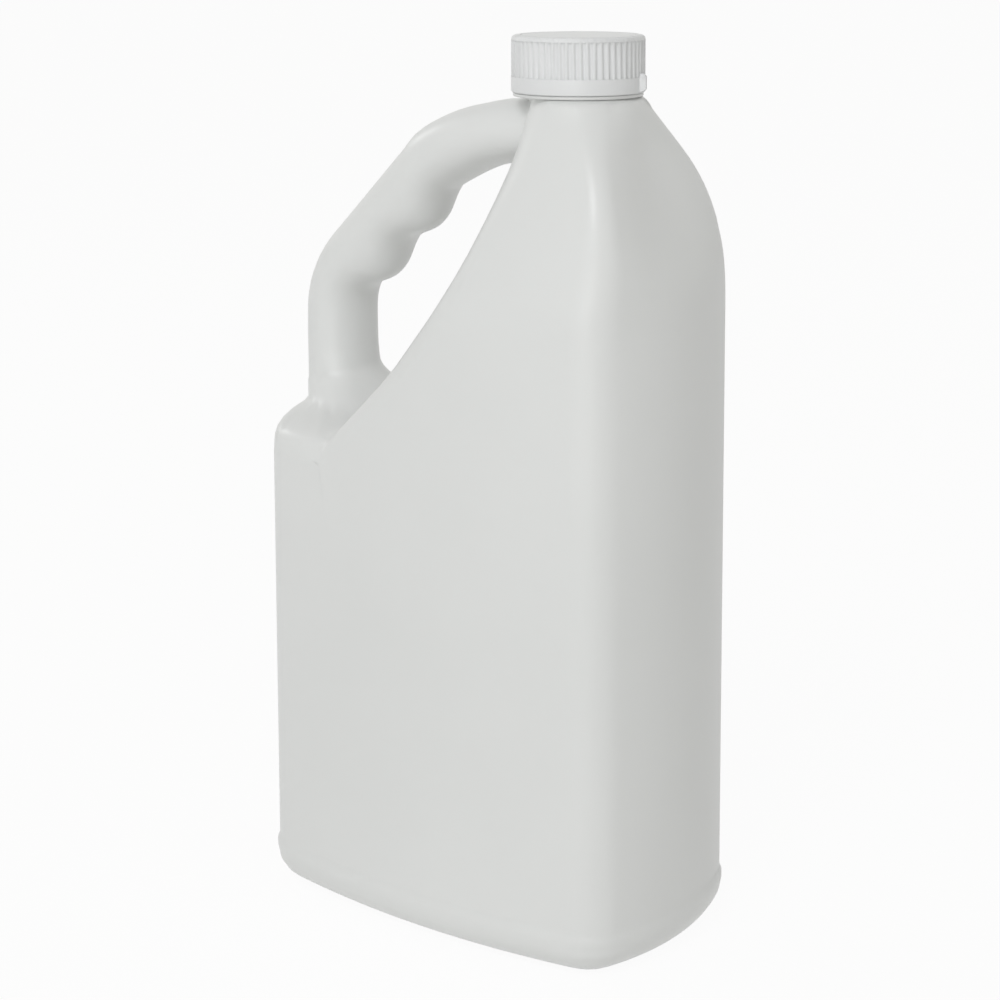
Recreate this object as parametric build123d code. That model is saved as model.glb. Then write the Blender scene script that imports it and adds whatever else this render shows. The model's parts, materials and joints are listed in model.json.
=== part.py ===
from build123d import *
from math import asin, cos, pi, radians, sin, tan
import os

# Jug of white polyethylene, blow-moulded in one piece with its hollow handle, and its ribbed screw cap.
# Millimetres, +Z up, the origin on the ground under the middle of the body, the neck towards +X.

# Body
BODY_LENGTH = 147.8
BODY_DEPTH = 87.7
WALL = 1.0
FRONT_TURN = 10.4
END_TURN = 20.2
CORNER_R = 16.0
FRONT_MIDDLE_X = 1.5

# Foot
FOOT_HEIGHT = 14.4
FOOT_PROUD = 0.7
HEEL_R = 11.9
PUSH_UP = 2.4
PUSH_UP_INSET = 17.0

# Shoulder and neck
SHOULDER_Z = 136.0
NECK_BASE_Z = 264.0
NECK_FROM_END = 40.6
NECK_BASE_R = 19.3
NECK_R = 17.3
NECK_WALL = 2.0
NECK_HEIGHT = 16.4

# Handle
HANDLE_DEPTH = 30.0
SCALLOP = 3.8
SCALLOP_PITCH = 25.0

# Cap and liner
CAP_R = 20.6
CAP_WALL = 1.5
CAP_FOOT_GAP = 1.4
CAP_TOP_T = 1.5
CAP_EDGE_R = 1.5
RIM_PLAIN = 2.2
BAND_HEIGHT = 4.9
RIBS = 60
RIB_DEPTH = 0.55
RIB_SHY = 0.1
FIN_ANGLE = 11.0
FIN_THICK = 0.9
FIN_PROUD = 1.9
FIN_HEIGHT = 5.5
LINER_T = 1.0
LINER_CLEAR = 0.3

HALF_X = BODY_LENGTH / 2
HALF_Y = BODY_DEPTH / 2
NECK_X = HALF_X - NECK_FROM_END
BORE_R = NECK_R - NECK_WALL
RIM_Z = NECK_BASE_Z + NECK_HEIGHT
CAP_FOOT_Z = NECK_BASE_Z + CAP_FOOT_GAP
CAP_CEILING_Z = RIM_Z + LINER_T
CAP_TOP_Z = CAP_CEILING_Z + CAP_TOP_T
CAP_INNER_R = CAP_R - CAP_WALL
LINER_R = CAP_INNER_R - LINER_CLEAR

os.makedirs("parts", exist_ok=True)


def arc(x, y, r, t0, t1):
    """Start, middle and end of an arc that starts at x, y, its outward normal turning from t0 to t1."""
    return [(x + r * (sin(t) - sin(t0)), y + r * (cos(t) - cos(t0))) for t in (t0, (t0 + t1) / 2, t1)]


def quarter(length, depth, start, turn, end, corner, inset, bow=0.0):
    """Three tangent arcs from the middle of a long side to the middle of an end, moved in by inset.

    Angles are those of the outward normal from the long side's. With bow, the turn is the one that gives the
    long side this radius.
    """
    se, ce = sin(end), cos(end)

    def radii(t):
        p = length - corner * (ce - sin(t))
        q = depth - corner * (cos(t) - se)
        ds = sin(t) - sin(start)
        dc = cos(start) - cos(t)
        det = ds * se - (1 - ce) * dc
        return (p * se - q * (1 - ce)) / det, (q * ds - p * dc) / det

    if bow:
        low, high = start + 0.0001, 0.5
        for _ in range(50):
            turn = (low + high) / 2
            if radii(turn)[0] > bow:
                low = turn
            else:
                high = turn
    long_r, end_r = radii(turn)
    front = arc(-inset * sin(start), depth - inset * cos(start), long_r - inset, start, turn)
    bend = arc(*front[2], corner - inset, turn, pi / 2 - end)
    tip = arc(*bend[2], end_r - inset, pi / 2 - end, pi / 2)
    return [front, bend, tip], long_r


def section(z, mid, a, b, flute=0.0, plain=False):
    """Closed outline at height z of the spout-end quarter a and the handle-end quarter b, mirrored in y.

    The flute draws in the middle of the spout end, square to the middle plane. A plain outline, for the unseen
    inside, runs straight between the arcs' ends and middles, so that the wall only gets thicker by it.
    """
    edges = []
    for legs, sx, sy in ((a, 1, -1), (a, 1, 1), (b, -1, 1), (b, -1, -1)):
        back = sx * sy > 0
        for i, leg in enumerate(legs):
            start, middle, end = leg
            curve = leg
            if i == 2 and sx > 0 and flute:
                slant = (end[0] - start[0]) / start[1]
                reach = start[1] / 3
                curve = [start, (start[0] + reach * 2 * slant, start[1] - reach), (end[0] - flute, reach)]
                curve.append((end[0] - flute, 0.0))
                middle = ((curve[0][0] + 3 * (curve[1][0] + curve[2][0]) + curve[3][0]) / 8, start[1] / 2)
                leg = [start, middle, curve[3]]
            pts = [Vector(mid + sx * x, sy * y, z) for x, y in (leg if plain else curve)]
            pts = pts[::-1] if back else pts
            if plain:
                run = [Edge.make_line(pts[0], pts[1]), Edge.make_line(pts[1], pts[2])]
            elif len(pts) == 4:
                run = [Edge.make_bezier(*pts)]
            else:
                run = [Edge.make_three_point_arc(*pts)]
            edges.append(run)
        if back:
            edges[-3:] = edges[-3:][::-1]
    return Wire([edge for run in edges for edge in run])


# Rows of the slanting panel, where only the handle end draws in: height over the shoulder's start, distance of the
# handle end from where it stands on the body, end turn and corner radius there.
SLOPE_ROWS = (
    (10.0, 21.0, 20.0, 12.0),
    (24.0, 36.4, 20.0, 12.0),
    (31.0, 43.7, 20.0, 12.0),
    (38.0, 51.7, 19.0, 11.5),
    (45.0, 58.8, 18.0, 11.0),
    (53.0, 65.3, 18.0, 11.0),
    (61.0, 71.7, 18.0, 11.0),
)
# Rows of the handle's root, which draws in from the body to the handle beside the panel: height over the shoulder's
# start, distance of the handle end as above, draw-in of the long sides, end turn, corner radius and length.
ROOT_ROWS = (
    (10.0, 0.0, 0.05, 28.0, 14.0, 58.0),
    (13.0, 0.0, 0.35, 28.0, 14.0, 56.5),
    (15.5, 0.0, 1.0, 27.0, 14.5, 54.5),
    (17.5, 0.1, 2.4, 26.0, 15.5, 52.0),
    (19.2, 0.2, 5.4, 24.0, 16.5, 49.0),
    (20.8, 0.4, 10.4, 23.0, 17.0, 45.0),
    (22.3, 1.2, 17.0, 22.0, 17.0, 40.0),
    (24.0, 2.0, 19.8, 22.0, 15.0, 34.0),
    (26.0, 1.7, 20.9, 22.0, 13.0, 30.0),
    (29.0, 1.0, 22.3, 22.0, 11.0, 25.5),
    (32.0, 1.0, 24.2, 22.0, 10.0, 22.0),
    (36.0, 1.5, 26.0, 22.0, 9.0, 19.0),
)
ROOT_START = 10.0
# Rows of the shoulder above: height over the start of the slope, the two ends and the half depth measured from the
# neck axis, the lean of the long side at its middle, then front turn, end turn and corner radius of the spout
# end and of the handle end, then depth of the flute in the spout end.
SHOULDER_ROWS = (
    (67.0, 40.5, 31.65, 41.3, 6.0, 10.4, 20.0, 15.5, 1.5, 18.0, 11.0, 0.1),
    (74.0, 40.0, 27.7, 39.6, 5.0, 10.0, 18.0, 14.0, 3.0, 18.0, 11.5, 0.5),
    (82.0, 38.2, 23.75, 37.4, 3.5, 9.5, 14.0, 11.5, 4.5, 18.0, 12.0, 1.3),
    (90.0, 35.7, 20.65, 35.0, 2.0, 9.0, 11.0, 9.0, 6.0, 19.0, 13.0, 2.0),
    (98.0, 32.8, 17.8, 32.3, 1.0, 9.0, 9.0, 7.5, 8.0, 20.0, 14.0, 2.3),
    (106.0, 29.5, 15.9, 29.1, 0.0, 10.0, 9.0, 7.0, 11.0, 23.0, 16.0, 2.2),
    (113.0, 26.3, 14.55, 26.0, 0.0, 13.0, 12.0, 8.0, 14.0, 26.0, 17.5, 1.6),
    (119.0, 24.0, 13.85, 23.2, 0.0, 19.0, 18.0, 11.0, 17.0, 28.0, 18.5, 0.8),
    (124.0, 22.0, 13.25, 20.8, 0.0, 26.0, 25.0, 15.5, 19.0, 30.0, 19.0, 0.2),
    (128.0, 19.3, 12.6, 19.3, 0.0, 30.0, 30.0, 19.3, 20.0, 30.0, 19.5, 0.0),
)
SLOPE_RISE = 128.0
SLOPE_RUN = 107.2
SHOULDER_HALF = 24.55
SPOUT_RUN = 21.3
HANDLE_RUN = 87.9
ROWS_NECK_R = 19.3
ROWS_HALF_Y = 43.85


def body_wire(z, inset, back=0.0, end=28.0, corner=14.0, plain=False):
    """Outline of the upright body, its handle end drawn in by back."""
    left = -HALF_X + back
    mid = (HALF_X + left) / 2
    bow = quarter(HALF_X - FRONT_MIDDLE_X, HALF_Y, 0.0, radians(FRONT_TURN), radians(END_TURN), CORNER_R, 0.0)[1]
    lean = asin((mid - FRONT_MIDDLE_X) / bow)
    depth = HALF_Y - bow * (1 - cos(lean))
    a = quarter(HALF_X - mid, depth, lean, radians(FRONT_TURN), radians(END_TURN), CORNER_R, inset)[0]
    b = quarter(mid - left, depth, -lean, 0.1, radians(end), corner, inset, bow)[0]
    return section(z, mid, a, b, 0.0, plain)


def shoulder_wire(row, z, inset, plain):
    """Outline of one row of the shoulder."""
    dz, right, left, deep, lean, a1, b1, c1, a2, b2, c2, flute = row
    # Lengths keep their share of the run from body to neck when the sizes change.
    kn = NECK_BASE_R / ROWS_NECK_R
    right = NECK_BASE_R + (right - ROWS_NECK_R) * (HALF_X - NECK_X - NECK_BASE_R) / SPOUT_RUN
    left = NECK_BASE_R + (left - ROWS_NECK_R) * (HALF_X + NECK_X - NECK_BASE_R) / HANDLE_RUN
    deep = NECK_BASE_R + (deep - ROWS_NECK_R) * (HALF_Y - NECK_BASE_R) / SHOULDER_HALF
    mid = NECK_X + (right - left) / 2
    span = (right + left) / 2
    lean = radians(lean)
    a = quarter(span, deep, lean, radians(a1), radians(b1), c1 * kn, inset)[0]
    b = quarter(span, deep, -lean, radians(a2), radians(b2), c2 * kn, inset)[0]
    return section(z, mid, a, b, flute, plain)


def root_wire(row, z, inset, kx, plain):
    """Outline of one row of the handle's root, its long sides a little drawn in from the body's."""
    dz, back, tuck, end, corner, reach = row
    left = -HALF_X + back * kx
    mid = left + reach * kx / 2
    bow = quarter(HALF_X - FRONT_MIDDLE_X, HALF_Y, 0.0, radians(FRONT_TURN), radians(END_TURN), CORNER_R, 0.0)[1]
    lean = asin((mid - FRONT_MIDDLE_X) / bow)
    depth = HALF_Y - bow * (1 - cos(lean)) - tuck * HALF_Y / ROWS_HALF_Y
    a = quarter(mid - left, depth, lean, -lean, radians(end), corner, inset)[0]
    b = quarter(mid - left, depth, -lean, 0.1, radians(end), corner, inset, bow)[0]
    return section(z, mid, a, b, 0.0, plain)


def prism(inset, z0, z1, plain=False):
    """Upright body outline between two heights."""
    return Solid.extrude(Face(body_wire(z0, inset, plain=plain)), Vector(0, 0, z1 - z0))


def shoulder(inset, drop, plain=False):
    """Shoulder from the top of the upright body to the neck base."""
    kz = (NECK_BASE_Z - SHOULDER_Z) / SLOPE_RISE
    kx = (HALF_X + NECK_X) / SLOPE_RUN
    wires = []
    for dz, back, end, corner in SLOPE_ROWS:
        wires.append(body_wire(SHOULDER_Z + dz * kz - drop, inset, back * kx, end, corner, plain))
    for row in SHOULDER_ROWS:
        wires.append(shoulder_wire(row, SHOULDER_Z + row[0] * kz - drop, inset, plain))
    return Solid.make_loft(wires, True)


def root(inset, drop, plain=False):
    """Root of the handle, beside the slanting panel."""
    kz = (NECK_BASE_Z - SHOULDER_Z) / SLOPE_RISE
    kx = (HALF_X + NECK_X) / SLOPE_RUN
    return Solid.make_loft(
        [root_wire(row, SHOULDER_Z + row[0] * kz - drop, inset, kx, plain) for row in ROOT_ROWS], True)


# Handle stations from the neck to the root: distance from the handle end of the body, height over the shoulder
# start, slope, then half width outside and inside the bend and half depth. Inside half widths on the straight
# run follow the finger scallops.
STATIONS = [
    (99.4, 117.4, 3.0, 9.6, 8.6, 10.5),
    (83.4, 116.1, 8.0, 10.2, 9.8, 12.3),
    (75.4, 114.6, 12.0, 10.2, 10.0, 13.0),
    (67.4, 112.5, 17.5, 10.5, 10.8, 13.3),
    (59.9, 109.7, 25.0, 10.5, 11.4, 13.5),
    (53.2, 106.1, 34.5, 10.4, 11.4, 13.5),
]
RUN_X, RUN_Z, RUN_SLOPE, RUN_INSIDE = 38.2, 91.0, 44.7, 12.5
for i in range(10):
    along = 5.0 * i - 17.0
    STATIONS.append((
        RUN_X - along * cos(radians(RUN_SLOPE)),
        RUN_Z - along * sin(radians(RUN_SLOPE)),
        RUN_SLOPE,
        10.2,
        RUN_INSIDE - SCALLOP / 2 * cos(2 * pi * (along - 8.0) / SCALLOP_PITCH),
        13.7,
    ))
STATIONS += [
    (14.1, 65.4, 60.0, 10.2, 10.0, 13.6),
    (11.2, 57.8, 78.0, 10.1, 10.1, 13.5),
    (10.6, 50.0, 90.0, 10.0, 10.3, 13.5),
    (10.6, 38.0, 90.0, 10.0, 10.7, 13.5),
    (10.6, 28.0, 90.0, 10.0, 11.0, 13.5),
    (10.6, 16.5, 90.0, 8.6, 11.0, 12.5),
]
ROUND = 4 / 3 * tan(pi / 8)


def handle(inset, plain=False):
    """Handle from inside the neck to inside the body, moved in by inset."""
    sx = (NECK_X + HALF_X) / SLOPE_RUN
    sz = (NECK_BASE_Z - SHOULDER_Z) / SLOPE_RISE
    sy = HANDLE_DEPTH / 30.0
    wires = []
    for dx, dz, slope, out, inn, deep in STATIONS:
        c = Vector(-HALF_X + dx * sx, 0, SHOULDER_Z + dz * sz)
        n = Vector(-sin(radians(slope)), 0, cos(radians(slope)))
        e = Vector(0, deep * sy - inset, 0)
        top, low = n * (out - inset), n * (inset - inn)
        edges = []
        for u, v in ((e, top), (top, -e), (-e, low), (low, e)):
            if plain:
                pts = [c + u * cos(t) + v * sin(t) for t in (0, pi / 6, pi / 3, pi / 2)]
                edges += [Edge.make_line(pts[i], pts[i + 1]) for i in range(3)]
            else:
                edges.append(Edge.make_bezier(c + u, c + u + v * ROUND, c + v + u * ROUND, c + v))
        wires.append(Wire(edges))
    return Solid.make_loft(wires, True)


def ring(r, z0, z1, x=NECK_X):
    """Upright cylinder on the neck axis."""
    return Pos(x, 0, z0) * Cylinder(r, z1 - z0, align=(Align.CENTER, Align.CENTER, Align.MIN))


def neck(r, z0, z1):
    """Cylinder on the neck axis that starts as a funnel, so that it stays within the narrow handle side."""
    outline = Polyline((0, z0), (r - 4.4, z0), (r, z0 + 3.7), (r, z1), (0, z1), close=True)
    return Pos(NECK_X, 0, 0) * revolve(Plane.XZ * make_face(outline), Axis.Z)


def heel(inset, z0, radius, steps, plain=False):
    """Rounded lower edge of a prism that starts at z0."""
    wires = []
    for i in range(steps + 1):
        t = pi / 2 * (1 - i / steps)
        wires.append(body_wire(z0 + radius * (1 - sin(t)), inset + radius * (1 - cos(t)), plain=plain))
    return Solid.make_loft(wires, True)


# Foot: a bead slightly wider than the body with a generous heel.
foot = heel(-FOOT_PROUD, 0.0, HEEL_R, 4) + prism(-FOOT_PROUD, HEEL_R, FOOT_HEIGHT - FOOT_PROUD)
foot = foot + Solid.make_loft([
    body_wire(FOOT_HEIGHT - FOOT_PROUD, -FOOT_PROUD),
    body_wire(FOOT_HEIGHT, 0.0),
], True)


def dish(z0, z1, inset):
    """Raised middle of the base, its sides sloping in."""
    wires = []
    for z, d in ((z0, inset), (z1, inset + 1.5 * (z1 - z0))):
        a = quarter(HALF_X - d, HALF_Y - d, 0.0, radians(FRONT_TURN), radians(END_TURN), CORNER_R / 2, 0.0)[0]
        wires.append(section(z, 0.0, a, a))
    return Solid.make_loft(wires, True)


push_up = dish(0.0, PUSH_UP, PUSH_UP_INSET)
pad = dish(WALL, PUSH_UP + WALL, PUSH_UP_INSET - WALL)

UPRIGHT_Z = SHOULDER_Z + ROOT_START * (NECK_BASE_Z - SHOULDER_Z) / SLOPE_RISE
outside = foot + prism(0.0, FOOT_HEIGHT, UPRIGHT_Z) + shoulder(0.0, 0.0) + root(0.0, 0.0)
outside = outside + handle(0.0) + neck(NECK_R, NECK_BASE_Z - 3.0, RIM_Z)

hollow = heel(WALL, WALL, HEEL_R - WALL, 3, True) + prism(WALL, HEEL_R, UPRIGHT_Z - WALL, True)
hollow = hollow - pad + shoulder(WALL, WALL, True) + root(WALL, WALL, True) + handle(WALL, True)
hollow = hollow + neck(BORE_R, NECK_BASE_Z - 3.2, RIM_Z + 1)

jug_body = outside - push_up - hollow

# Cap: ribbed skirt over a plain band, a rounded top edge and one small radial fin on the band.
tooth = 2 * pi / RIBS
pts = []
for i in range(RIBS):
    for part, r in ((0.0, 1), (0.36, 1), (0.5, 0), (0.86, 0)):
        t = (i + part) * tooth
        rad = CAP_R - RIB_SHY - RIB_DEPTH * (1 - r)
        pts.append((NECK_X + rad * cos(t), rad * sin(t)))
star = make_face(Polyline(*pts, close=True))
skirt = Pos(0, 0, CAP_FOOT_Z + BAND_HEIGHT) * extrude(star, CAP_TOP_Z - RIM_PLAIN - CAP_FOOT_Z - BAND_HEIGHT)
band = ring(CAP_R, CAP_FOOT_Z, CAP_FOOT_Z + BAND_HEIGHT)
band = chamfer(band.edges().group_by(Axis.Z)[0], 0.4)
rim_r = CAP_R - RIB_SHY / 2
edge = [(CAP_EDGE_R * (1 - sin(t)), CAP_EDGE_R * (1 - cos(t))) for t in (0, pi / 4, pi / 2)]
rim = [(0, CAP_TOP_Z - RIM_PLAIN), (rim_r, CAP_TOP_Z - RIM_PLAIN)]
rim += [(rim_r - u, CAP_TOP_Z - v) for v, u in edge] + [(0, CAP_TOP_Z)]
rim = Pos(NECK_X, 0, 0) * revolve(Plane.XZ * make_face(Polyline(*rim, close=True)), Axis.Z)
fin = Pos(CAP_R + FIN_PROUD / 2 - 0.3, 0, FIN_HEIGHT / 2) * Box(FIN_PROUD + 0.6, FIN_THICK, FIN_HEIGHT)
fin = chamfer(fin.edges().filter_by(Axis.Y).group_by(Axis.X)[-1], 0.8)
fin = Pos(NECK_X, 0, CAP_FOOT_Z + 0.6) * Rot(0, 0, FIN_ANGLE) * fin
screw_cap = band + skirt + rim + fin - ring(CAP_INNER_R, CAP_FOOT_Z - 1, CAP_CEILING_Z)

# Liner: foam disc pressed against the cap's ceiling, sealing on the neck rim.
cap_liner = ring(LINER_R, RIM_Z, CAP_CEILING_Z)

export_step(jug_body, "parts/jug_body.step")
export_step(screw_cap, "parts/screw_cap.step")
export_step(cap_liner, "parts/cap_liner.step")
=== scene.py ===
import json
import math

import bpy
from mathutils import Matrix, Vector

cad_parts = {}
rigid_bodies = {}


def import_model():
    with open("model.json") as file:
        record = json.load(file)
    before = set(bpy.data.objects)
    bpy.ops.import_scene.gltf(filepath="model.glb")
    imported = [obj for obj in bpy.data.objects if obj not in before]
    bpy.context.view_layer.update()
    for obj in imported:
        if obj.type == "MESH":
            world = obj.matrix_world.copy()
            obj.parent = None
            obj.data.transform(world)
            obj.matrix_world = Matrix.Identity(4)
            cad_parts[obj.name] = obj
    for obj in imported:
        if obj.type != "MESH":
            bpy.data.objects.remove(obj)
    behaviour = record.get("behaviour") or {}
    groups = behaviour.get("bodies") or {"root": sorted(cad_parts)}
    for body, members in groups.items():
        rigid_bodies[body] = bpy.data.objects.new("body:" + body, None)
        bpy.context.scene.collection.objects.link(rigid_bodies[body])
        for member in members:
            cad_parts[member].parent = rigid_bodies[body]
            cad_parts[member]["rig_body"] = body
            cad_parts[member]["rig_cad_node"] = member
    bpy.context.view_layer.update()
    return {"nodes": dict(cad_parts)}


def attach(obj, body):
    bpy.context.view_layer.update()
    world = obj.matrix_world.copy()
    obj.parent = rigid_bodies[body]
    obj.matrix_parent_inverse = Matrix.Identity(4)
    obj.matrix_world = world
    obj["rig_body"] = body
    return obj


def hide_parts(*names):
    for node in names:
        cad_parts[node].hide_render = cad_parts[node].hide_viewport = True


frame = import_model()


# Jug body: one blow-moulded piece of white high-density polyethylene, its hollow handle blown with the rest.
# The mould halves meet in the middle plane and leave a thin parting line over handle, spout end and base.
# The wall has the fine grain of a sand-blasted mould and a satin shine that varies a little over it.

GRAIN_PER_M = 1500.0
WAVE_PER_M = 14.0
NOISE_DETAIL = 2.0
PARTING_HALF_WIDTH = 0.00022
SKIN_STRENGTH = 0.12
SKIN_DEPTH = 0.0004
GRAIN_SHARE = 0.25
WAVE_SHARE = 0.5
PARTING_SHARE = 0.35
SOFT_EDGE = 0.0025
SOFT_EDGE_SAMPLES = 8
BODY_ROUGHNESS = 0.30
BODY_ROUGHNESS_SPREAD = 0.08
POLYETHYLENE_IOR = 1.5
JOIN_GAP = 0.00001
LEVEL_SLACK = 0.0001
ROUNDING_CUTS = 2
BODY_ROUND_BELOW = 48.0
FOOT_TOP = 0.0144
FOOT_FADE = 0.0010
HEEL_FOOT = 0.0010
HEEL_TOP = 0.0118
HEEL_SHY = 0.9999
GAP_FOOT = (-0.0527, 0.160)
GAP_SLOPE = 1.186
ROOT_TOP = 0.173
HANDLE_END_X = 0.008
ROOT_LEFT = -0.060
ROOT_RIGHT = -0.022
ROOT_FOOT = 0.148
ROOT_HEAD = 0.184
ROOT_PASSES = 20
ROOT_SMOOTHING = 0.5
SPOUT_START_X = 0.045
SPOUT_FOOT = 0.190
SPOUT_TOP = 0.262
BODY_WHITE = (0.80, 0.805, 0.80, 1.0)
BODY_THIN_WHITE = (0.75, 0.757, 0.75, 1.0)


class Tone:
    """One socket of a material's nodes, so that shader maths reads as plain expressions."""

    def __init__(self, tree, socket=None):
        self.tree = tree
        self.socket = socket

    def node(self, kind, settings, inputs, output=0):
        """Adds a node: its settings first, then the values or links of its sockets."""
        made = self.tree.nodes.new(kind)
        for name, value in settings.items():
            setattr(made, name, value)
        for name, value in inputs.items():
            if isinstance(value, Tone):
                self.tree.links.new(value.socket, made.inputs[name])
            else:
                made.inputs[name].default_value = value
        return Tone(self.tree, made.outputs[output] if made.outputs else None)

    def maths(self, operation, first, second=0.0):
        return self.node("ShaderNodeMath", {"operation": operation}, {0: first, 1: second})

    def __add__(self, other):
        return self.maths("ADD", self, other)

    def __radd__(self, other):
        return self.maths("ADD", other, self)

    def __mul__(self, other):
        return self.maths("MULTIPLY", self, other)

    def __abs__(self):
        return self.maths("ABSOLUTE", self)


def empty_material(name):
    """A material with all its nodes cleared, and the tone that adds its nodes."""
    material = bpy.data.materials.new(name)
    material.use_nodes = True
    material.node_tree.nodes.clear()
    return material, Tone(material.node_tree)


def joined_copy(node, name):
    """A copy of a CAD node as a piece of its own, its triangles joined."""
    bpy.ops.object.select_all(action="DESELECT")
    source = frame["nodes"][node]
    source.select_set(True)
    bpy.context.view_layer.objects.active = source
    bpy.ops.object.duplicate()
    piece = bpy.context.active_object
    piece.name = name
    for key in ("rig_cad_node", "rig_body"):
        del piece[key]
    piece.parent = None
    bpy.ops.object.mode_set(mode="EDIT")
    bpy.ops.mesh.select_all(action="SELECT")
    bpy.ops.mesh.remove_doubles(threshold=JOIN_GAP)
    bpy.ops.object.mode_set(mode="OBJECT")
    return piece


def pick(piece, kind, wanted):
    """Goes to edit mode with the corners or faces selected whose middle passes the test."""
    bpy.ops.object.mode_set(mode="EDIT")
    bpy.ops.mesh.select_mode(type=kind)
    bpy.ops.mesh.select_all(action="DESELECT")
    bpy.ops.object.mode_set(mode="OBJECT")
    if kind == "VERT":
        for corner in piece.data.vertices:
            corner.select = wanted(corner.co)
    else:
        for face in piece.data.polygons:
            face.select = wanted(face.center)
    bpy.ops.object.mode_set(mode="EDIT")


def raise_level(piece, level, rise):
    """Lifts all corners that lie at one height."""
    pick(piece, "VERT", lambda place: abs(place.z - level) < LEVEL_SLACK)
    bpy.ops.transform.translate(value=(0.0, 0.0, rise))
    bpy.ops.object.mode_set(mode="OBJECT")


def shade_round(piece, angle):
    """Shades edges below the angle as round, led by the larger faces."""
    bpy.ops.object.shade_smooth_by_angle(angle=angle)
    bpy.ops.object.modifier_add(type="WEIGHTED_NORMAL")
    piece.modifiers[-1].keep_sharp = True
    bpy.ops.object.modifier_apply(modifier=piece.modifiers[-1].name)


def on_handle(place):
    """True on the handle, which lies over a slanting line through the finger gap."""
    over_gap = place.z > GAP_FOOT[1] + (place.x - GAP_FOOT[0]) * GAP_SLOPE
    return over_gap and place.z > ROOT_TOP and place.x < HANDLE_END_X


def on_root(place):
    """True where the foot of the handle runs into the slanting panel."""
    return ROOT_LEFT < place.x < ROOT_RIGHT and ROOT_FOOT < place.z < ROOT_HEAD


def on_spout(place):
    """True on the spout end of the shoulder, which bends in towards the neck."""
    return place.x > SPOUT_START_X and SPOUT_FOOT < place.z < SPOUT_TOP


polyethylene, tone = empty_material("white_polyethylene")
place = tone.node("ShaderNodeTexCoord", {}, {}, "Object")
across = tone.node("ShaderNodeSeparateXYZ", {}, {"Vector": place}, "Y")
grain = tone.node(
    "ShaderNodeTexNoise",
    {},
    {"Vector": place, "Scale": GRAIN_PER_M, "Detail": NOISE_DETAIL},
    "Fac",
)
wave = tone.node(
    "ShaderNodeTexNoise",
    {},
    {"Vector": place, "Scale": WAVE_PER_M, "Detail": NOISE_DETAIL},
    "Fac",
)
parting = tone.node(
    "ShaderNodeMapRange",
    {"interpolation_type": "SMOOTHSTEP"},
    {"Value": abs(across), "From Min": 0.0, "From Max": PARTING_HALF_WIDTH, "To Min": 1.0, "To Max": 0.0},
)
tint = tone.node(
    "ShaderNodeMix",
    {"data_type": "RGBA"},
    {"Factor": wave, "A": BODY_THIN_WHITE, "B": BODY_WHITE},
    2,
)
soft_edges = tone.node("ShaderNodeBevel", {"samples": SOFT_EDGE_SAMPLES}, {"Radius": SOFT_EDGE})
skin = tone.node(
    "ShaderNodeBump",
    {},
    {
        "Strength": SKIN_STRENGTH,
        "Distance": SKIN_DEPTH,
        "Height": grain * GRAIN_SHARE + wave * WAVE_SHARE + parting * PARTING_SHARE,
        "Normal": soft_edges,
    },
)
shader = tone.node(
    "ShaderNodeBsdfPrincipled",
    {},
    {
        "Base Color": tint,
        "Roughness": BODY_ROUGHNESS + wave * BODY_ROUGHNESS_SPREAD,
        "Normal": skin,
        "IOR": POLYETHYLENE_IOR,
    },
)
tone.node("ShaderNodeOutputMaterial", {}, {"Surface": shader})

jug_shell = joined_copy("jug_body", "jug_shell")
raise_level(jug_shell, FOOT_TOP, FOOT_FADE)
pick(jug_shell, "FACE", lambda place: on_handle(place) or on_spout(place))
bpy.ops.mesh.subdivide(number_cuts=ROUNDING_CUTS, smoothness=1.0)
pick(jug_shell, "FACE", on_root)
bpy.ops.mesh.subdivide(number_cuts=ROUNDING_CUTS, smoothness=0.0)
bpy.ops.mesh.vertices_smooth(factor=ROOT_SMOOTHING, repeat=ROOT_PASSES)
pick(jug_shell, "FACE", lambda place: HEEL_FOOT < place.z < HEEL_TOP)
bpy.ops.mesh.subdivide(number_cuts=ROUNDING_CUTS, smoothness=1.0)
bpy.ops.transform.resize(value=(HEEL_SHY, HEEL_SHY, 1.0), center_override=(0.0, 0.0, 0.0))
bpy.ops.object.mode_set(mode="OBJECT")
shade_round(jug_shell, math.radians(BODY_ROUND_BELOW))
jug_shell.data.materials.clear()
jug_shell.data.materials.append(polyethylene)
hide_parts("jug_body")
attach(jug_shell, "bottle")


# Neck thread: the screw of the 38 mm finish, blown with the neck, of the same polyethylene.
# Its one right-handed start climbs by the lead that couples the cap's rise to its turning.

liner_corners = [Vector(corner) for corner in frame["nodes"]["cap_liner"].bound_box]
NECK_X = (min(c.x for c in liner_corners) + max(c.x for c in liner_corners)) / 2
RIM_Z = min(c.z for c in liner_corners)
THREAD_LEAD = 0.004233
THREAD_STEPS = 72
NECK_THREAD_TURNS = 2.25
NECK_THREAD_FOOT = 0.0126
NECK_THREAD_ROOT = 0.0171
NECK_THREAD_CREST = 0.01855
NECK_THREAD_WIDTH = 0.0020
THREAD_CREST_SHARE = 0.45
THREAD_ROUND_BELOW = 30.0


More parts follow.
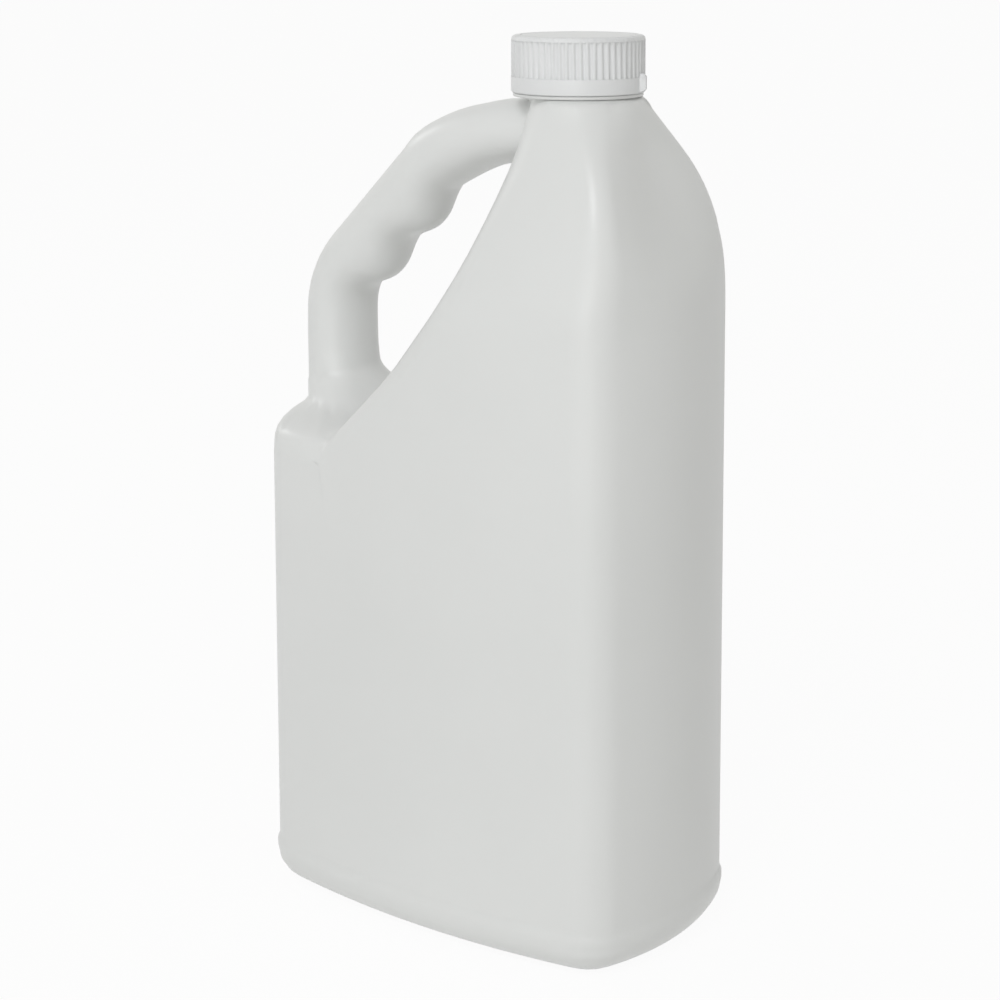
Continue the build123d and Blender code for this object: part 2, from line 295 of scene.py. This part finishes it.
def thread(name, foot, root, crest, width, turns):
    """A helical ridge on the neck's axis: a tapered section swept by the lead, closed at both ends."""
    bpy.ops.object.select_all(action="DESELECT")
    bpy.ops.mesh.primitive_plane_add(size=1, location=(NECK_X, 0, RIM_Z - foot))
    ridge = bpy.context.active_object
    ridge.name = name
    bpy.ops.object.mode_set(mode="EDIT")
    bpy.ops.mesh.select_all(action="SELECT")
    bpy.ops.mesh.delete(type="ONLY_FACE")
    bpy.ops.object.mode_set(mode="OBJECT")
    for corner in ridge.data.vertices:
        outer = corner.co.x > 0
        half = width / 2 * (THREAD_CREST_SHARE if outer else 1.0)
        corner.co = (crest if outer else root, 0.0, half if corner.co.y > 0 else -half)
    bpy.ops.object.modifier_add(type="SCREW")
    sweep = ridge.modifiers[-1]
    sweep.angle = 2 * math.pi * turns
    sweep.screw_offset = THREAD_LEAD * turns
    sweep.steps = round(THREAD_STEPS * turns)
    sweep.render_steps = sweep.steps
    sweep.use_merge_vertices = False
    bpy.ops.object.modifier_apply(modifier=sweep.name)
    bpy.ops.object.mode_set(mode="EDIT")
    bpy.ops.mesh.select_all(action="SELECT")
    bpy.ops.mesh.fill_holes(sides=0)
    bpy.ops.mesh.select_all(action="SELECT")
    bpy.ops.mesh.normals_make_consistent(inside=False)
    bpy.ops.object.mode_set(mode="OBJECT")
    bpy.ops.object.transform_apply(location=True, rotation=False, scale=False)
    bpy.ops.object.shade_smooth_by_angle(angle=math.radians(THREAD_ROUND_BELOW))
    return ridge


neck_thread = thread(
    "neck_thread",
    NECK_THREAD_FOOT,
    NECK_THREAD_ROOT,
    NECK_THREAD_CREST,
    NECK_THREAD_WIDTH,
    NECK_THREAD_TURNS,
)
neck_thread.data.materials.append(polyethylene)
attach(neck_thread, "bottle")


# Neck bead: the step at the foot of the neck, blown with the body in the same polyethylene.
# It stands a tenth of a millimetre under the cap's band and all but closes the slit there.

BEAD_INNER_R = 0.0168
BEAD_R = 0.0200
BEAD_DROP = 0.0162
BEAD_HEIGHT = 0.0011
BEAD_ROUND = 0.0003
BEAD_ROUND_STEPS = 3
BEAD_SIDES = 96
BEAD_SHARP_ABOVE = 60.0
BEAD_ROUND_BELOW = 40.0

bpy.ops.object.select_all(action="DESELECT")
bpy.ops.mesh.primitive_circle_add(
    vertices=BEAD_SIDES,
    radius=BEAD_INNER_R,
    fill_type="NOTHING",
    location=(NECK_X, 0, RIM_Z - BEAD_DROP),
)
neck_bead = bpy.context.active_object
neck_bead.name = "neck_bead"
bpy.ops.object.transform_apply(location=True, rotation=False, scale=False)
bpy.ops.object.mode_set(mode="EDIT")
bpy.ops.mesh.select_mode(type="EDGE")
bpy.ops.mesh.select_all(action="SELECT")
bpy.ops.mesh.extrude_region_move()
widen = BEAD_R / BEAD_INNER_R
bpy.ops.transform.resize(value=(widen, widen, 1.0), center_override=(NECK_X, 0.0, RIM_Z - BEAD_DROP))
bpy.ops.mesh.select_all(action="SELECT")
bpy.ops.mesh.extrude_region_move(TRANSFORM_OT_translate={"value": (0.0, 0.0, BEAD_HEIGHT)})
bpy.ops.mesh.select_all(action="SELECT")
bpy.ops.mesh.normals_make_consistent(inside=False)
bpy.ops.mesh.select_all(action="DESELECT")
bpy.ops.mesh.edges_select_sharp(sharpness=math.radians(BEAD_SHARP_ABOVE))
bpy.ops.mesh.bevel(offset=BEAD_ROUND, segments=BEAD_ROUND_STEPS)
bpy.ops.object.mode_set(mode="OBJECT")
shade_round(neck_bead, math.radians(BEAD_ROUND_BELOW))
neck_bead.data.materials.append(polyethylene)
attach(neck_bead, "bottle")


# Liner: a disc of white foam pressed into the cap, which seals on the neck's rim.
# Its fine closed cells show only when the cap is off.

CELLS_PER_M = 2600.0
DIMPLE_STRENGTH = 0.3
DIMPLE_DEPTH = 0.0002
FOAM_ROUGHNESS = 0.75
FOAM_WHITE = (0.80, 0.80, 0.78, 1.0)
FOAM_WALL_WHITE = (0.72, 0.72, 0.70, 1.0)

foam, tone = empty_material("liner_foam")
place = tone.node("ShaderNodeTexCoord", {}, {}, "Object")
cells = tone.node("ShaderNodeTexVoronoi", {}, {"Vector": place, "Scale": CELLS_PER_M}, "Distance")
shade = tone.node(
    "ShaderNodeMix",
    {"data_type": "RGBA"},
    {"Factor": cells, "A": FOAM_WHITE, "B": FOAM_WALL_WHITE},
    2,
)
dimples = tone.node(
    "ShaderNodeBump",
    {},
    {"Strength": DIMPLE_STRENGTH, "Distance": DIMPLE_DEPTH, "Height": cells},
)
shader = tone.node(
    "ShaderNodeBsdfPrincipled",
    {},
    {"Base Color": shade, "Roughness": FOAM_ROUGHNESS, "Normal": dimples},
)
tone.node("ShaderNodeOutputMaterial", {}, {"Surface": shader})

frame["nodes"]["cap_liner"].data.materials.clear()
frame["nodes"]["cap_liner"].data.materials.append(foam)


# Screw cap: injection-moulded white polypropylene with a ribbed grip over a plain band and one small fin.
# It is a little crisper and shinier than the blown body, with faint flow marks from the mould.

FLOW_PER_M = 40.0
FLOW_DETAIL = 3.0
CAP_GRAIN_DETAIL = 1.0
CAP_GRAIN_SHARE = 0.008
FLOW_SHARE = 0.012
RIB_TOP = 0.2807
RIB_RISE = 0.0006
RIM_EDGE = 0.2815
TOP_FLAT_R = 0.0189
RIM_SHY = 0.97
RECESS_R = 0.0174
RECESS_EDGE = 0.0005
RECESS_DEPTH = 0.0006
CAP_ROUGHNESS = 0.32
CAP_ROUGHNESS_SPREAD = 0.08
POLYPROPYLENE_IOR = 1.49
CAP_ROUND_BELOW = 66.0
CAP_WHITE = (0.80, 0.805, 0.81, 1.0)
CAP_FLOW_WHITE = (0.76, 0.767, 0.775, 1.0)


def on_rim(place):
    """True on the rounded edge round the cap's flat top."""
    return place.z > RIM_EDGE and math.hypot(place.x - NECK_X, place.y) > TOP_FLAT_R


polypropylene, tone = empty_material("white_polypropylene")
place = tone.node("ShaderNodeTexCoord", {}, {}, "Object")
flow = tone.node(
    "ShaderNodeTexNoise",
    {},
    {"Vector": place, "Scale": FLOW_PER_M, "Detail": FLOW_DETAIL},
    "Fac",
)
grain = tone.node(
    "ShaderNodeTexNoise",
    {},
    {"Vector": place, "Scale": GRAIN_PER_M, "Detail": CAP_GRAIN_DETAIL},
    "Fac",
)
tint = tone.node(
    "ShaderNodeMix",
    {"data_type": "RGBA"},
    {"Factor": flow, "A": CAP_FLOW_WHITE, "B": CAP_WHITE},
    2,
)
spot = tone.node("ShaderNodeVectorMath", {"operation": "SUBTRACT"}, {0: place, 1: (NECK_X, 0.0, 0.0)})
flat = tone.node("ShaderNodeVectorMath", {"operation": "MULTIPLY"}, {0: spot, 1: (1.0, 1.0, 0.0)})
radius = tone.node("ShaderNodeVectorMath", {"operation": "LENGTH"}, {0: flat}, "Value")
recess = tone.node(
    "ShaderNodeMapRange",
    {"interpolation_type": "SMOOTHSTEP"},
    {
        "Value": radius,
        "From Min": RECESS_R,
        "From Max": RECESS_R + RECESS_EDGE,
        "To Min": 0.0,
        "To Max": 1.0,
    },
)
skin = tone.node(
    "ShaderNodeBump",
    {},
    {
        "Strength": 1.0,
        "Distance": RECESS_DEPTH,
        "Height": grain * CAP_GRAIN_SHARE + flow * FLOW_SHARE + recess,
    },
)
shader = tone.node(
    "ShaderNodeBsdfPrincipled",
    {},
    {
        "Base Color": tint,
        "Roughness": CAP_ROUGHNESS + flow * CAP_ROUGHNESS_SPREAD,
        "Normal": skin,
        "IOR": POLYPROPYLENE_IOR,
    },
)
tone.node("ShaderNodeOutputMaterial", {}, {"Surface": shader})

cap_shell = joined_copy("screw_cap", "cap_shell")
raise_level(cap_shell, RIB_TOP, RIB_RISE)
pick(cap_shell, "FACE", on_rim)
bpy.ops.mesh.subdivide(number_cuts=ROUNDING_CUTS, smoothness=1.0)
bpy.ops.transform.resize(value=(1.0, 1.0, RIM_SHY), center_override=(NECK_X, 0.0, RIM_EDGE))
bpy.ops.object.mode_set(mode="OBJECT")
shade_round(cap_shell, math.radians(CAP_ROUND_BELOW))
cap_shell.data.materials.clear()
cap_shell.data.materials.append(polypropylene)
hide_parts("screw_cap")
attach(cap_shell, "cap")


# Cap thread: the screw inside the skirt, moulded with the cap, of the same polypropylene.
# It lies half a lead above the neck's thread, so that the two run clear of each other all the way up.

CAP_THREAD_TURNS = 2.1
CAP_THREAD_ROOT = 0.0193
CAP_THREAD_CREST = 0.0179
CAP_THREAD_WIDTH = 0.0017

cap_thread = thread(
    "cap_thread",
    NECK_THREAD_FOOT - THREAD_LEAD / 2,
    CAP_THREAD_ROOT,
    CAP_THREAD_CREST,
    CAP_THREAD_WIDTH,
    CAP_THREAD_TURNS,
)
cap_thread.data.materials.append(polypropylene)
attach(cap_thread, "cap")


# Floor: a plain pale sheet of matt board that the jug stands on.
# It shows almost as white as the background and keeps a faint shadow of the jug.

FLOOR_SIZE = 40.0
FLOOR_WHITE = 0.94
FLOOR_COLOUR = (0.90, 0.90, 0.89, 1.0)

floor_paint, tone = empty_material("pale_floor")
seen = tone.node("ShaderNodeLightPath", {}, {}, "Is Camera Ray")
mirrored = tone.node("ShaderNodeLightPath", {}, {}, "Is Glossy Ray")
through = tone.node("ShaderNodeLightPath", {}, {}, "Is Transmission Ray")
matt = tone.node("ShaderNodeBsdfDiffuse", {}, {"Color": FLOOR_COLOUR})
white = tone.node("ShaderNodeEmission", {}, {"Color": (1.0, 1.0, 1.0, 1.0), "Strength": 1.0})
lit = tone.node(
    "ShaderNodeMixShader",
    {},
    {0: (seen + mirrored + through) * FLOOR_WHITE, 1: matt, 2: white},
)
tone.node("ShaderNodeOutputMaterial", {}, {"Surface": lit})

bpy.ops.object.select_all(action="DESELECT")
bpy.ops.mesh.primitive_plane_add(size=FLOOR_SIZE, location=(0, 0, 0))
floor = bpy.context.active_object
floor.name = "floor"
floor.data.materials.append(floor_paint)


# Light: a white studio with one large soft box in front, one low on the right and two small ones, above
# and on the left, which leave the soft highlights on the shoulder's ridge and on the handle.

ROOM_COLOUR = (1.0, 1.0, 0.975, 1.0)
ROOM_LIGHT = 0.49

world = bpy.data.worlds.new("studio")
bpy.context.scene.world = world
world.use_nodes = True
world.node_tree.nodes.clear()
tone = Tone(world.node_tree)
seen = tone.node("ShaderNodeLightPath", {}, {}, "Is Camera Ray")
mirrored = tone.node("ShaderNodeLightPath", {}, {}, "Is Glossy Ray")
through = tone.node("ShaderNodeLightPath", {}, {}, "Is Transmission Ray")
room = tone.node(
    "ShaderNodeBackground",
    {},
    {"Color": ROOM_COLOUR, "Strength": ROOM_LIGHT + (seen + mirrored + through) * (1.0 - ROOM_LIGHT)},
)
tone.node("ShaderNodeOutputWorld", {}, {"Surface": room})


def soft_lamp(name, place, aim, size, watts, colour):
    """A square soft box at a place, turned towards the point that it lights."""
    bpy.ops.object.light_add(type="AREA", location=place)
    lamp = bpy.context.active_object
    lamp.name = name
    lamp.data.shape = "SQUARE"
    lamp.data.size = size
    lamp.data.energy = watts
    lamp.data.color = colour
    lamp.rotation_euler = (Vector(aim) - Vector(place)).to_track_quat("-Z", "Y").to_euler()


soft_lamp(
    "front",
    place=(0.30, -2.0, 0.45),
    aim=(0.0, 0.0, 0.14),
    size=1.4,
    watts=4.5,
    colour=(0.93, 0.97, 1.0),
)
soft_lamp(
    "right_low",
    place=(0.9, -1.6, 0.10),
    aim=(0.0, 0.0, 0.14),
    size=0.8,
    watts=5.5,
    colour=(1.0, 0.99, 0.96),
)
soft_lamp(
    "top",
    place=(0.35, -1.1, 1.25),
    aim=(0.0, 0.0, 0.2),
    size=0.45,
    watts=5.0,
    colour=(0.97, 0.98, 1.0),
)
soft_lamp(
    "left",
    place=(-1.5, 0.1, 0.95),
    aim=(0.0, 0.0, 0.2),
    size=0.3,
    watts=1.6,
    colour=(1.0, 1.0, 1.0),
)

scene = bpy.context.scene
scene.view_settings.view_transform = "Standard"


# Camera: a long lens on the spout end's side, a little above the cap and looking slightly down.
# The picture is shifted so that the jug stands in it as it does in the photograph.

CAMERA_PLACE = (0.4406, -0.5754, 0.3188)
CAMERA_YAW = 0.6501
CAMERA_PITCH = 0.1359
CAMERA_ROLL = -0.0026
CAMERA_LENS = 82.95
CAMERA_SHIFT = -0.2693
CAMERA_SENSOR = 36.0

bpy.ops.object.camera_add(location=CAMERA_PLACE)
camera = bpy.context.active_object
camera.data.lens = CAMERA_LENS
camera.data.sensor_width = CAMERA_SENSOR
camera.data.shift_y = CAMERA_SHIFT
turn = Matrix.Rotation(CAMERA_YAW, 4, "Z") @ Matrix.Rotation(math.pi / 2 - CAMERA_PITCH, 4, "X")
camera.matrix_world = Matrix.Translation(CAMERA_PLACE) @ turn @ Matrix.Rotation(CAMERA_ROLL, 4, "Z")
scene.camera = camera
